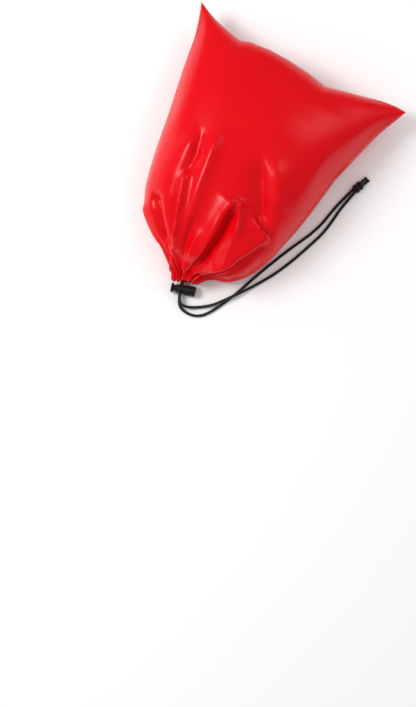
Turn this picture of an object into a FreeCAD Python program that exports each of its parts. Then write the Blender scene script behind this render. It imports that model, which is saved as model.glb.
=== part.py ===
import FreeCAD, Part
import Sketcher
import math
import os

# A small drawstring throw bag for a floating rescue line: a sewn bag of coated nylon, stuffed
# with its line and cinched shut, with a cord lock on the drawcord and a knot in the cord's ends.
# The bag lies on its side. X runs along its bottom seam, +Y points from the cinched mouth to the
# bottom seam, Z is up, and the origin is on the floor under the middle of the bag's box.

doc = FreeCAD.newDocument("throw_bag")
sheet = doc.addObject("Spreadsheet::Sheet", "dims")

DIMENSIONS = [
    # the stuffed bag
    ("bag_width", 224, "bottom seam, corner to corner"),
    ("bag_length", 250, "bottom seam to mouth, stuffed"),
    ("bag_depth", 86, "height of the stuffed bag"),
    ("underside_press", 9, "how far the round underside is pressed flat"),
    ("fabric", 1.2, "coated nylon with its puckers, as one thickness"),
    ("seam_edge", 3, "thickness of the turned bottom seam"),
    ("seam_rise", 30, "height of the bottom seam above the floor"),
    ("seam_fold", 10, "width of a seam allowance"),
    ("seam_inset", 6, "bottom allowance's edge from the bottom seam"),
    ("seam_clear", 2, "room between the hem and the side allowances"),
    ("thread_stop", 15, "bottom stitching's end from the corner"),
    ("thread", 0.8, "sewing thread"),
    # the cinched mouth
    ("mouth_width", 24, "gathered mouth, across"),
    ("mouth_height", 20, "gathered mouth, high"),
    ("mouth_rise", 13, "height of the mouth's middle above the floor"),
    ("mouth_shift", 10, "sideways shift of the mouth's middle"),
    ("hem_depth", 12, "length of the gathered drawcord hem"),
    ("gather", 7, "thickness of the gathers outside the cord's middle line"),
    # the line inside
    ("line_gap", 8, "room between the stuffed line and the fabric"),
    ("line_rest", 3, "height of the line's flat underside"),
    # the drawcord
    ("cord", 3, "drawcord diameter"),
    ("tunnel_gap", 0.25, "room round the cord in its tunnel"),
    ("strand_gap", 0.1, "gap between the two strands in the lock"),
    ("cross_gap", 0.3, "gap where one strand crosses over the other"),
    ("cord_leaves", 1.2, "where the cord turns into the hem, ahead of the mouth"),
    ("knot_out", 22.7, "knot's near end from the bag's side"),
    ("knot_along", 0.346, "knot's near end along the bag, as a share"),
    ("knot_turn", 71, "turn of the knot's axis from X, degrees"),
    ("knot_bite", 0.8, "how far strands and tails run into the knot"),
    ("knot_length", 13, "end knot, along the cord"),
    ("knot_width", 9, "end knot, across"),
    ("knot_height", 7.6, "end knot, high"),
    ("tail", 7, "cord tail beyond the knot"),
    ("tail_gap", 0.5, "gap between the tails where they leave the knot"),
    ("tail_splay", 10, "turn of each tail away from the knot's axis, degrees"),
    ("tip", 1.6, "melted end of a tail"),
    ("tip_swell", 0.3, "how far the melted end stands proud"),
    # the barrel cord lock
    ("lock_gap", 0.8, "gap between the barrel and the mouth"),
    ("lock_side", 9.5, "lock's middle, sideways"),
    ("lock_turn", 18.4, "turn of the lock's axis from X, degrees"),
    ("barrel", 10.5, "barrel diameter"),
    ("barrel_wall", 1.1, "wall of the barrel"),
    ("mouth_wall", 3, "barrel from its mouth to the cord hole"),
    ("collar_step", 0.65, "step down to the barrel's mouth"),
    ("collar_length", 2, "length of the stepped mouth"),
    ("end_wall", 1.5, "closed end of the barrel"),
    ("bore_gap", 0.15, "running clearance between plunger and bore"),
    ("plunger_reach", 7, "plunger from the cord to its spring seat"),
    ("neck_step", 0.7, "step down to the plunger's neck"),
    ("neck_spare", 0.9, "neck still showing with the button pressed"),
    ("button_step", 0.25, "push button's edge inside the barrel's"),
    ("button_length", 2.2, "push button thickness"),
    ("edge", 0.6, "softened edges of the moulded parts"),
    ("cord_hold", 0.2, "gap between the cord and the hole's closed side"),
    ("hole_room", 0.15, "gap above and below the strands in the hole"),
    ("press", 2.2, "travel of the push button"),
    ("spring_step", 0.7, "spring's outside from the plunger's"),
    ("spring_length", 6.4, "spring with the cord gripped"),
    ("wire", 0.7, "spring wire"),
    ("spring_turns", 4.5, "turns of the spring"),
    ("spring_gap", 0.05, "room at each end of the spring"),
]
for row, (alias, value, meaning) in enumerate(DIMENSIONS, start=1):
    sheet.set("A%d" % row, alias)
    sheet.set("B%d" % row, str(value))
    sheet.setAlias("B%d" % row, alias)
    sheet.set("C%d" % row, meaning)
doc.recompute()


def size(alias):
    """A driving dimension as a plain number."""
    return float(sheet.get(alias))


def amount(formula):
    """The value of a formula on the driving dimensions."""
    return float(sheet.evalExpression(formula))


def put(obj, label=None, **bound):
    """Label an object and bind its properties; Base_x stands for Placement.Base.x."""
    if label:
        obj.Label = label
    for prop, formula in bound.items():
        if prop.startswith("Base_"):
            prop = "Placement.Base." + prop[5:]
        obj.setExpression(prop, formula)
    return obj


def add(kind, name, label=None, **bound):
    return put(doc.addObject(kind, name), label, **bound)


def boolean(kind, name, base, tool, label=None):
    result = doc.addObject("Part::" + kind, name)
    result.Base = base
    result.Tool = tool
    if label:
        result.Label = label
    return result


# ---------------------------------------------------------------- the bag's outer form
# Sections from the bottom seam to the mouth: place along the length, then how far width, top and
# underside have gone from the mouth's values (0) to the bag's full values (1), and the sideways
# shift as a share of the mouth's own shift.
SECTIONS = [
    (0.016, 0.987, 0.185, -1.7, 0.05),
    (0.048, 0.961, 0.34, -0.9, 0.1),
    (0.097, 0.917, 0.507, 0.05, 0.2),
    (0.185, 0.865, 0.753, 0.62, -0.1),
    (0.270, 0.833, 0.890, 0.88, -0.25),
    (0.351, 0.790, 0.973, 1.0, -0.35),
    (0.435, 0.760, 1.000, 1.0, -0.3),
    (0.520, 0.731, 1.000, 1.0, -0.25),
    (0.617, 0.688, 0.945, 0.94, -0.2),
    (0.706, 0.645, 0.836, 0.84, -0.2),
    (0.782, 0.590, 0.699, 0.68, -0.2),
    (0.835, 0.525, 0.582, 0.52, -0.15),
    (0.883, 0.430, 0.452, 0.36, 0.05),
    (0.919, 0.318, 0.329, 0.20, 0.45),
    (0.952, 0.160, 0.205, 0.10, 0.85),
    (0.976, 0.045, 0.075, 0.04, 1.0),
    (1.000, 0.000, 0.000, 0.00, 1.0),
]
HEM_SECTION = 14
RING_SECTION = 15
MOUTH_TOP = "(dims.mouth_rise + dims.mouth_height / 2)"
MOUTH_UNDER = "(dims.mouth_rise - dims.mouth_height / 2)"


def section_formulas(section):
    """Formulas of one section: Y, half width, half height, middle's height and side shift."""
    along, wide, top, under, shift = section
    width = "(dims.mouth_width + (dims.bag_width - dims.mouth_width) * %g)" % wide
    high = "(%s + (dims.bag_depth - %s) * %g)" % (MOUTH_TOP, MOUTH_TOP, top)
    low = "(%s - (dims.underside_press + %s) * %g)" % (MOUTH_UNDER, MOUTH_UNDER, under)
    return {
        "y": "dims.bag_length * (0.5 - %g)" % along,
        "half_width": width + " / 2",
        "half_height": "(%s - %s) / 2" % (high, low),
        "z": "(%s + %s) / 2" % (high, low),
        "x": "dims.mouth_shift * %g" % shift,
    }


def ellipse(name, place, inset):
    """An upright ellipse across the bag, drawn in by inset."""
    ring = add("Part::Ellipse", name)
    ring.Placement.Rotation = FreeCAD.Rotation(FreeCAD.Vector(1, 0, 0), 90)
    return put(
        ring,
        MajorRadius="%s - (%s)" % (place["half_width"], inset),
        MinorRadius="%s - (%s)" % (place["half_height"], inset),
        Base_x=place["x"],
        Base_y=place["y"],
        Base_z=place["z"],
    )


def bag_loft(name, inset, first, last, at_seam=False, end_insets=None):
    """A smooth solid through the sections from first to last, drawn in by inset."""
    rings = []
    if at_seam:
        seam = {
            "y": "dims.bag_length / 2",
            "half_width": "dims.bag_width / 2",
            "half_height": "dims.seam_edge / 2",
            "z": "dims.seam_rise",
            "x": "0",
        }
        rings.append(ellipse(name + "_seam", seam, inset))
    for number in range(first, last + 1):
        extra = (end_insets or {}).get(number, "0")
        place = section_formulas(SECTIONS[number])
        rings.append(ellipse("%s_%d" % (name, number), place, "%s + %s" % (inset, extra)))
    loft = doc.addObject("Part::Loft", name)
    loft.Sections = rings
    loft.Solid = True
    loft.Ruled = False
    return loft


def block(name, x, y, z, length, width, height):
    return add(
        "Part::Box", name, Length=length, Width=width, Height=height, Base_x=x, Base_y=y, Base_z=z
    )


LAST = len(SECTIONS) - 1
BOTTOM_STRIP = "(dims.seam_inset + dims.seam_fold)"
SEAM_TILT = "atan((dims.seam_rise - dims.mouth_rise) / dims.bag_length)"
RUN_OUT = "60"


def seam_slab(name, below, height, start=None, width="dims.bag_length + 2 * %s" % RUN_OUT):
    """A slab along the plane of the seams, from below that plane upwards."""
    slab = add("Part::Box", name, Length="2 * dims.bag_width", Width=width, Height=height)
    slab.Placement.Rotation = FreeCAD.Rotation(FreeCAD.Vector(1, 0, 0), 1)
    slab.setExpression("Placement.Rotation.Angle", SEAM_TILT)
    start = start or "(-%s)" % RUN_OUT
    return put(
        slab,
        Base_x="-dims.bag_width",
        Base_y="-dims.bag_length / 2 + %s * cos(%s) + %s * sin(%s)" % (start, SEAM_TILT, below, SEAM_TILT),
        Base_z="dims.mouth_rise + %s * sin(%s) - %s * cos(%s)" % (start, SEAM_TILT, below, SEAM_TILT),
    )


FAR = "dims.bag_width"


def above(name, height):
    """The room above a level, wide enough for the whole bag."""
    return block(name, "-" + FAR, "-dims.bag_length", height, "2 * " + FAR, "2 * dims.bag_length", "2 * dims.bag_depth")


outer_loft = bag_loft("outer_loft", "0", 0, LAST, True)
outer_form = boolean("Common", "outer_form", outer_loft, above("above_floor", "0"))
# The flat corners beside the bottom seam hold nothing, so the hollow starts a little inside it.
inner_loft = bag_loft("inner_loft", "dims.fabric", 0, LAST, False, {0: "2.8", 1: "2.4", 2: "1.2", 3: "0.3"})
lining_loft = bag_loft("lining_loft", "2 * dims.fabric", 1, LAST, False, {1: "2.4", 2: "1.2", 3: "0.3"})
inner_form = boolean("Common", "inner_form", inner_loft, above("above_fabric", "dims.fabric"))
lining_form = boolean("Common", "lining_form", lining_loft, above("above_lining", "2 * dims.fabric"))
shell = boolean("Cut", "shell", outer_form, inner_form)
upper_half = seam_slab("upper_half", "0", "2 * dims.bag_depth")


# ---------------------------------------------------------------- cords as runs and tangent arcs
def rounded_path(points):
    """Straight runs joined by tangent arcs, each as large as its two runs allow."""
    spots = [FreeCAD.Vector(*p) for p in points]
    edges = []
    radii = []
    here = spots[0]
    for before, corner, after in zip(spots, spots[1:], spots[2:]):
        arriving = (corner - before).normalize()
        leaving = (after - corner).normalize()
        half_turn = arriving.getAngle(leaving) / 2
        trim = 0.45 * min(corner.distanceToPoint(before), after.distanceToPoint(corner))
        radii.append(trim / math.tan(half_turn))
        start = corner - arriving * trim
        end = corner + leaving * trim
        inward = (leaving - arriving).normalize()
        centre = corner + inward * (radii[-1] / math.cos(half_turn))
        middle = centre - inward * radii[-1]
        edges.append(Part.LineSegment(here, start).toShape())
        edges.append(Part.Arc(start, middle, end).toShape())
        here = end
    edges.append(Part.LineSegment(here, spots[-1]).toShape())
    return Part.Wire(edges), radii


def tube(points, radius, name=None):
    """A round tube along a rounded path; prints its bends and checks its volume."""
    path, radii = rounded_path(points)
    start = FreeCAD.Vector(*points[0])
    heading = FreeCAD.Vector(*points[1]) - start
    ring = Part.Wire(Part.makeCircle(radius, start, heading))
    solid = path.makePipeShell([ring], True, False)
    if name:
        expected = math.pi * radius**2 * path.Length
        print(
            "%s: length %.1f mm, bend radii %s, volume %.4f of section x length"
            % (name, path.Length, " ".join("%.1f" % r for r in radii), solid.Volume / expected)
        )
    return solid


def feature(name, label, shape):
    """A piece whose form no primitive gives."""
    piece = doc.addObject("Part::Feature", name)
    piece.Shape = shape
    piece.Label = label
    return piece


# The cord leaves the hem, runs straight through the lock's hole and ends in the knot.
PINCH = "(dims.cord / 2 + dims.cord_hold)"
BARREL_OPEN = "(%s + dims.mouth_wall)" % PINCH
BARREL_BLIND = "(dims.plunger_reach + dims.spring_length + 2 * dims.spring_gap + dims.end_wall)"
BORE = "(dims.barrel / 2 - dims.barrel_wall)"
PLUNGER = "(%s - dims.bore_gap)" % BORE
turn = math.radians(size("lock_turn"))
AXIS = FreeCAD.Vector(math.cos(turn), math.sin(turn), 0)
OUTWARD = FreeCAD.Vector(math.sin(turn), -math.cos(turn), 0)
MOUTH_Y = -size("bag_length") / 2
reach_back = amount(BARREL_BLIND) * math.sin(turn) + size("barrel") / 2 * math.cos(turn)
LOCK_AHEAD = size("lock_gap") + reach_back
LOCK = FreeCAD.Vector(size("lock_side"), MOUTH_Y - LOCK_AHEAD, size("barrel") / 2)
RADIUS = size("cord") / 2
FLOOR = RADIUS
OVER = FLOOR + size("cord") + size("cross_gap")
STRAND_APART = (size("cord") + size("strand_gap")) / 2
HIGH = LOCK.z + STRAND_APART
LOW = LOCK.z - STRAND_APART


def on_strand(distance, height):
    """A point of the straight stretch through the lock, measured outward from its middle."""
    spot = LOCK + OUTWARD * distance
    return (spot.x, spot.y, height)


RING_Y = MOUTH_Y + size("hem_depth") / 2
ring = {key: amount(text) for key, text in section_formulas(SECTIONS[RING_SECTION]).items()}
RING_INSET = size("fabric") + size("gather")
FACE = size("barrel") / 2
BACK = -(LOCK_AHEAD - size("cord_leaves")) / math.cos(turn)


def in_hem(across, up, ahead=0.0):
    """A point in the hem: shares of the gathers' middle line, and how far it lies ahead."""
    half_width = ring["half_width"] - RING_INSET
    half_height = ring["half_height"] - RING_INSET
    return (ring["x"] + across * half_width, RING_Y - ahead, ring["z"] + up * half_height)


def before_mouth(x, ahead, height):
    """A point on the floor side of the mouth, ahead of it."""
    return (x, MOUTH_Y - ahead, height)


def beside_bag(along, out, height):
    """A point at a share of the bag's length, a distance out from the bag's side."""
    for first, second in zip(SECTIONS, SECTIONS[1:]):
        if first[0] <= along <= second[0]:
            part = (along - first[0]) / (second[0] - first[0])
            mixed = [a + part * (b - a) for a, b in zip(first, second)]
    place = {key: amount(text) for key, text in section_formulas(mixed).items()}
    return (place["x"] + place["half_width"] + out, place["y"], height)


knot_turn = math.radians(size("knot_turn"))
KNOT_AXIS = FreeCAD.Vector(math.cos(knot_turn), math.sin(knot_turn), 0)
KNOT_SIDE = FreeCAD.Vector(math.sin(knot_turn), -math.cos(knot_turn), 0)
KNOT_NEAR = FreeCAD.Vector(*beside_bag(size("knot_along"), size("knot_out"), size("knot_height") / 2))


def at_knot(along, side):
    """A point measured from the knot's near end, along its axis and to its side."""
    spot = KNOT_NEAR + KNOT_AXIS * along + KNOT_SIDE * side
    return (spot.x, spot.y, spot.z)


LOOP_ROUTE = [
    on_strand(FACE, HIGH),
    on_strand(BACK, HIGH),
    in_hem(-1.0, -0.8),
    in_hem(-1.0, 1.1),
    in_hem(1.0, 1.1),
    in_hem(1.0, -1.2),
    in_hem(0.4, -1.9, 3.0),
    on_strand(BACK, LOW),
    on_strand(FACE, LOW),
]

STRAND_A_ROUTE = [
    on_strand(FACE, HIGH),
    on_strand(FACE + 9, HIGH),
    before_mouth(24.0, 23.4, OVER),
    before_mouth(35.5, 16.0, FLOOR),
    before_mouth(45.0, 8.5, OVER - 0.8),
    beside_bag(0.993, 29.7, OVER),
    beside_bag(0.948, 22.9, OVER),
    beside_bag(0.894, 16.2, FLOOR + 0.7),
    beside_bag(0.810, 16.2, FLOOR),
    beside_bag(0.724, 18.3, FLOOR),
    beside_bag(0.628, 21.2, FLOOR),
    beside_bag(0.560, 23.8, FLOOR),
    beside_bag(0.496, 23.7, FLOOR),
    beside_bag(0.440, 22.9, FLOOR),
    beside_bag(0.390, 23.9, FLOOR + 0.2),
    at_knot(size("knot_bite"), STRAND_APART),
]

STRAND_B_ROUTE = [
    on_strand(FACE, LOW),
    on_strand(FACE + 9.6, LOW),
    before_mouth(23.0, 28.2, FLOOR),
    before_mouth(33.5, 27.4, FLOOR),
    before_mouth(42.0, 22.0, FLOOR),
    before_mouth(48.8, 11.0, FLOOR),
    beside_bag(0.992, 31.3, FLOOR),
    beside_bag(0.930, 16.6, FLOOR),
    beside_bag(0.868, 8.2, FLOOR),
    beside_bag(0.784, 4.7, FLOOR),
    beside_bag(0.674, 8.5, FLOOR),
    beside_bag(0.588, 14.6, FLOOR),
    beside_bag(0.524, 17.1, FLOOR),
    beside_bag(0.460, 17.5, FLOOR),
    beside_bag(0.402, 19.0, FLOOR + 0.2),
    at_knot(size("knot_bite"), -STRAND_APART),
]

drawcord_loop = feature("drawcord_loop_tube", "drawcord_loop", tube(LOOP_ROUTE, RADIUS, "drawcord_loop"))
strand_a = feature("strand_a_tube", "drawcord_strand_a", tube(STRAND_A_ROUTE, RADIUS, "strand_a"))
strand_b = feature("strand_b_tube", "drawcord_strand_b", tube(STRAND_B_ROUTE, RADIUS, "strand_b"))
tunnel = feature("tunnel", "tunnel", tube(LOOP_ROUTE, RADIUS + size("tunnel_gap")))

# ---------------------------------------------------------------- panels, hem and seams
front_panel = boolean("Common", "front_whole", shell, upper_half)
front_panel = boolean("Cut", "front_opened", front_panel, tunnel, "front_panel")
back_panel = boolean("Cut", "back_whole", shell, upper_half)
back_panel = boolean("Cut", "back_opened", back_panel, tunnel, "back_panel")

# The mouth's hem is gathered so tightly that its folds are one mass round the cord.
hem_room = block(
    "hem_room",
    "-" + FAR,
    "-dims.bag_length / 2 - 1",
    "0",
    "2 * " + FAR,
    "dims.hem_depth + 1",
    "dims.bag_depth",
)
hem_whole = boolean("Common", "hem_whole", inner_form, hem_room)
hem_mass = boolean("Cut", "hem_tunnelled", hem_whole, tunnel)
front_hem = boolean("Common", "front_hem_half", hem_mass, upper_half, "front_hem")
back_hem = boolean("Cut", "back_hem_half", hem_mass, upper_half, "back_hem")

# Side seam allowances lie flat against the inside, half on each panel.
SIDE_START = "-dims.bag_length / 2 + dims.hem_depth + dims.seam_clear"
SIDE_RUN = "dims.bag_length - dims.hem_depth - dims.seam_clear - %s - dims.seam_inset" % BOTTOM_STRIP
side_slab = seam_slab("side_slab", "dims.seam_fold / 2", "dims.seam_fold")
seam_space = boolean("Cut", "seam_space", inner_form, lining_form)


def side_allowance(side, start):
    """The allowance of one side seam: what of a slab lies between the fabric and the lining."""
    room = block(side + "_room", start, SIDE_START, "0", FAR, SIDE_RUN, "dims.bag_depth")
    strip = boolean("Common", side + "_strip", side_slab, room)
    return boolean("Common", side + "_allowance", seam_space, strip, side + "_seam_allowance")


left_seam = side_allowance("left", "-" + FAR)
right_seam = side_allowance("right", "0")

# The bottom seam's two allowances point into the bag as one flat strip.
strip = seam_slab(
    "bottom_strip",
    "dims.fabric",
    "2 * dims.fabric",
    "(dims.bag_length / cos(%s) - %s)" % (SEAM_TILT, BOTTOM_STRIP),
    "dims.seam_fold",
)
bottom_seam = boolean("Common", "bottom_allowance", inner_form, strip, "bottom_seam_allowance")


# ---------------------------------------------------------------- sewing threads
def seam_height(y):
    """Height of the seams' plane at a place along the bag."""
    rise = size("seam_rise") - size("mouth_rise")
    return size("mouth_rise") + rise * (y / size("bag_length") + 0.5)


def seam_route(side, first, last):
    """Points along a side seam, in the middle of its layers."""
    route = []
    for section in SECTIONS[first : last + 1]:
        place = {key: amount(text) for key, text in section_formulas(section).items()}
        inset = size("fabric")
        height = seam_height(place["y"])
        lean = (height - place["z"]) / (place["half_height"] - inset)
        reach = (place["half_width"] - inset) * math.sqrt(1 - lean**2)
        route.append((place["x"] + side * reach, place["y"], height))
    return route


THREAD = size("thread") / 2
left_thread = feature("left_thread_tube", "left_seam_thread", tube(seam_route(-1, 2, 13), THREAD))
right_thread = feature("right_thread_tube", "right_seam_thread", tube(seam_route(1, 2, 13), THREAD))

STITCH = "(dims.seam_inset + dims.seam_fold / 2)"
bottom_thread = add(
    "Part::Cylinder",
    "bottom_thread",
    "bottom_seam_thread",
    Radius="dims.thread / 2",
    Height="dims.bag_width - 2 * dims.thread_stop",
    Base_x="-dims.bag_width / 2 + dims.thread_stop",
    Base_y="dims.bag_length / 2 - %s" % STITCH,
    Base_z="dims.seam_rise - %s * tan(%s)" % (STITCH, SEAM_TILT),
)
bottom_thread.Placement.Rotation = FreeCAD.Rotation(FreeCAD.Vector(0, 1, 0), 90)

hem_line = section_formulas(SECTIONS[HEM_SECTION])
hem_spine = ellipse("hem_spine", hem_line, "dims.fabric / 2")
hem_profile = add("Part::Circle", "hem_profile", Radius="dims.thread / 2")
put(
    hem_profile,
    Base_x="%s + %s - dims.fabric / 2" % (hem_line["x"], hem_line["half_width"]),
    Base_y=hem_line["y"],
    Base_z=hem_line["z"],
)
hem_thread = doc.addObject("Part::Sweep", "hem_sweep")
hem_thread.Sections = [hem_profile]
hem_thread.Spine = (hem_spine, ["Edge1"])
hem_thread.Solid = True
hem_thread.Frenet = True
hem_thread.Label = "hem_thread"

# ---------------------------------------------------------------- the stuffed line
LINE_ENDS = {2: "16", 3: "5", 4: "1", 11: "1", 12: "6", 13: "12"}
line_loft = bag_loft("line_loft", "dims.fabric + dims.line_gap", 2, 13, False, LINE_ENDS)
throw_line = boolean("Common", "line_stuffed", line_loft, above("above_line_rest", "dims.line_rest"), "throw_line")

# ---------------------------------------------------------------- the end knot and the tails
knot_centre = FreeCAD.Vector(*at_knot(size("knot_length") / 2, 0))
knot = add(
    "Part::Ellipsoid",
    "knot",
    "end_knot",
    Radius2="dims.knot_length / 2",
    Radius3="dims.knot_width / 2",
    Radius1="dims.knot_height / 2",
    Angle1="-90",
    Angle2="90",
)
knot.Placement = FreeCAD.Placement(knot_centre, FreeCAD.Rotation(FreeCAD.Vector(0, 0, 1), size("knot_turn")))


def plane(body, role):
    return next(f for f in body.Origin.OriginFeatures if f.Role == role)


def profile(body, name, role, corners):
    """A closed outline whose every corner is placed by formulas."""
    sketch = body.newObject("Sketcher::SketchObject", name)
    sketch.AttachmentSupport = (plane(body, role), [""])
    sketch.MapMode = "FlatFace"
    spots = []
    for across, up in corners:
        spots.append(
            FreeCAD.Vector(float(sheet.evalExpression(across)), float(sheet.evalExpression(up)), 0)
        )
    count = len(spots)
    for number in range(count):
        sketch.addGeometry(Part.LineSegment(spots[number], spots[(number + 1) % count]), False)
    for number in range(count):
        sketch.addConstraint(Sketcher.Constraint("Coincident", number, 2, (number + 1) % count, 1))
        for kind, value, formula in (
            ("DistanceX", spots[number].x, corners[number][0]),
            ("DistanceY", spots[number].y, corners[number][1]),
        ):
            index = sketch.addConstraint(Sketcher.Constraint(kind, -1, 1, number, 1, value))
            sketch.setExpression("Constraints[%d]" % index, formula)
    return sketch


def turned(name, label, corners):
    """A body turned about its own X axis."""
    body = doc.addObject("PartDesign::Body", name)
    body.Label = label
    outline = profile(body, name + "_outline", "XY_Plane", corners)
    turning = body.newObject("PartDesign::Revolution", name + "_turning")
    turning.Profile = (outline, [""])
    turning.ReferenceAxis = (outline, ["H_Axis"])
    turning.Angle = 360
    doc.recompute()
    return body


def cross_hole(body, name, near, far):
    """A hole for the two strands, straight through the body from side to side."""
    top = "(dims.cord + dims.strand_gap / 2 + dims.hole_room)"
    corners = [(near, "-" + top), (far, "-" + top), (far, top), (near, top)]
    outline = profile(body, name + "_outline", "XZ_Plane", corners)
    pocket = body.newObject("PartDesign::Pocket", name)
    pocket.Profile = (outline, [""])
    pocket.Type = "ThroughAll"
    pocket.Midplane = True
    doc.recompute()


def tail_body(name, label, side):
    body = turned(
        name,
        label,
        [
            ("0", "0"),
            ("0", "dims.cord / 2"),
            ("dims.tail - dims.tip", "dims.cord / 2"),
            ("dims.tail - dims.tip * 0.7", "dims.cord / 2 + dims.tip_swell"),
            ("dims.tail - dims.tip * 0.3", "dims.cord / 2 + dims.tip_swell"),
            ("dims.tail", "dims.cord / 4"),
            ("dims.tail", "0"),
        ],
    )
    apart = (size("cord") + size("tail_gap")) / 2
    x, y, z = at_knot(size("knot_length") - size("knot_bite"), side * apart)
    heading = size("knot_turn") - side * size("tail_splay")
    turn_out = FreeCAD.Rotation(FreeCAD.Vector(0, 0, 1), heading)
    body.Placement = FreeCAD.Placement(FreeCAD.Vector(x, y, TAIL_REST), turn_out)
    return body


TAIL_REST = RADIUS + size("tip_swell") + 0.6
tail_a = tail_body("tail_a_body", "cord_tail_a", 1)
tail_b = tail_body("tail_b_body", "cord_tail_b", -1)

# ---------------------------------------------------------------- the barrel cord lock
lock_place = FreeCAD.Placement(LOCK, FreeCAD.Rotation(FreeCAD.Vector(0, 0, 1), size("lock_turn")))

OPEN_FACE = "-" + BARREL_OPEN
COLLAR = "(dims.barrel / 2 - dims.collar_step)"
BUTTON = "(dims.barrel / 2 - dims.button_step)"
NECK = "(%s - dims.neck_step)" % PLUNGER
NECK_LENGTH = "(dims.press + dims.neck_spare)"

barrel = turned(
    "barrel_body",
    "lock_barrel",
    [
        (OPEN_FACE, BORE),
        (OPEN_FACE, COLLAR),
        (OPEN_FACE + " + dims.collar_length", COLLAR),
        (OPEN_FACE + " + dims.collar_length + dims.edge", "dims.barrel / 2"),
        (BARREL_BLIND + " - 2 * dims.edge", "dims.barrel / 2"),
        (BARREL_BLIND + " - dims.edge / 2", "dims.barrel / 2 - dims.edge"),
        (BARREL_BLIND, "dims.barrel / 2 - 2 * dims.edge"),
        (BARREL_BLIND, "0"),
        (BARREL_BLIND + " - dims.end_wall", "0"),
        (BARREL_BLIND + " - dims.end_wall", BORE),
    ],
)
solid_barrel = barrel.Shape.Volume
cross_hole(barrel, "barrel_hole", "-" + PINCH, PINCH + " + dims.press")
print("barrel %.1f mm3, with its cord hole %.1f mm3" % (solid_barrel, barrel.Shape.Volume))
barrel.Placement = lock_place

NECK_END = "(%s - %s)" % (OPEN_FACE, NECK_LENGTH)
BUTTON_FACE = "(%s - dims.button_length)" % NECK_END
plunger = turned(
    "plunger_body",
    "lock_plunger",
    [
        (BUTTON_FACE, "0"),
        (BUTTON_FACE, BUTTON + " - dims.edge"),
        (BUTTON_FACE + " + dims.edge", BUTTON),
        (NECK_END + " - dims.edge / 2", BUTTON),
        (NECK_END, BUTTON + " - dims.edge / 2"),
        (NECK_END, NECK),
        (OPEN_FACE + " - dims.edge / 2", NECK),
        (OPEN_FACE + " + dims.edge / 2", PLUNGER),
        ("dims.plunger_reach - dims.edge", PLUNGER),
        ("dims.plunger_reach", PLUNGER + " - dims.edge"),
        ("dims.plunger_reach", "0"),
    ],
)
solid_plunger = plunger.Shape.Volume
cross_hole(plunger, "plunger_hole", "-%s - dims.press" % PINCH, PINCH)
print("plunger %.1f mm3, with its cord hole %.1f mm3" % (solid_plunger, plunger.Shape.Volume))
plunger.Placement = lock_place

spring = doc.addObject("PartDesign::Body", "spring_body")
spring.Label = "lock_spring"
half_wire = "dims.wire / 2"
radius_out = "(%s - dims.spring_step)" % PLUNGER
wire_outline = profile(
    spring,
    "wire_outline",
    "XZ_Plane",
    [
        (radius_out + " - dims.wire", half_wire),
        (radius_out + " - 0.85 * dims.wire", "0.15 * dims.wire"),
        (radius_out + " - dims.wire / 2", "0"),
        (radius_out + " - 0.15 * dims.wire", "0.15 * dims.wire"),
        (radius_out, half_wire),
        (radius_out + " - 0.15 * dims.wire", "0.85 * dims.wire"),
        (radius_out + " - dims.wire / 2", "dims.wire"),
        (radius_out + " - 0.85 * dims.wire", "0.85 * dims.wire"),
    ],
)
coil = spring.newObject("PartDesign::AdditiveHelix", "coil")
coil.Profile = (wire_outline, [""])
coil.ReferenceAxis = (wire_outline, ["V_Axis"])
coil.Mode = "height-turns-growth"
coil.setExpression("Height", "dims.spring_length - dims.wire")
coil.setExpression("Turns", "dims.spring_turns")
doc.recompute()
along_axis = FreeCAD.Rotation(FreeCAD.Vector(0, 1, 0), 90)
seat = LOCK + AXIS * (size("plunger_reach") + size("spring_gap"))
spring.Placement = FreeCAD.Placement(seat, lock_place.Rotation * along_axis)

# ---------------------------------------------------------------- check and write
doc.recompute()
PIECES = [
    front_panel, back_panel, front_hem, back_hem, left_seam, right_seam, bottom_seam,
    left_thread, right_thread, bottom_thread, hem_thread, throw_line, drawcord_loop,
    strand_a, strand_b, knot, tail_a, tail_b, barrel, plunger, spring,
]
for obj in doc.Objects:
    if "Invalid" in obj.State or "Error" in obj.State:
        raise RuntimeError("%s failed: %s" % (obj.Label, obj.State))
for piece in PIECES:
    if piece.Shape.isNull() or not piece.Shape.isValid() or piece.Shape.Volume <= 0:
        raise RuntimeError("%s has no valid shape" % piece.Label)

os.makedirs("parts", exist_ok=True)
for piece in PIECES:
    piece.Shape.exportStep(os.path.join("parts", piece.Label + ".step"))
    box = piece.Shape.BoundBox
    print(
        "%-24s %2d solids %9.1f mm3  x %.1f..%.1f  y %.1f..%.1f  z %.1f..%.1f"
        % (
            piece.Label, len(piece.Shape.Solids), piece.Shape.Volume,
            box.XMin, box.XMax, box.YMin, box.YMax, box.ZMin, box.ZMax,
        )
    )
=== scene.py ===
# %% [markdown]
# # A stuffed drawstring throw bag
#
# The bag is two panels of coated nylon, sewn at the sides and the bottom, stuffed with floating
# line, and pulled shut by a cord in its hem. A spring lock grips the cord, whose two ends are tied
# in one overhand knot. The CAD model fixes where everything is, so the lesson starts from it.

import math

import bpy
import numpy as np
from mathutils import Matrix, Vector


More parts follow.
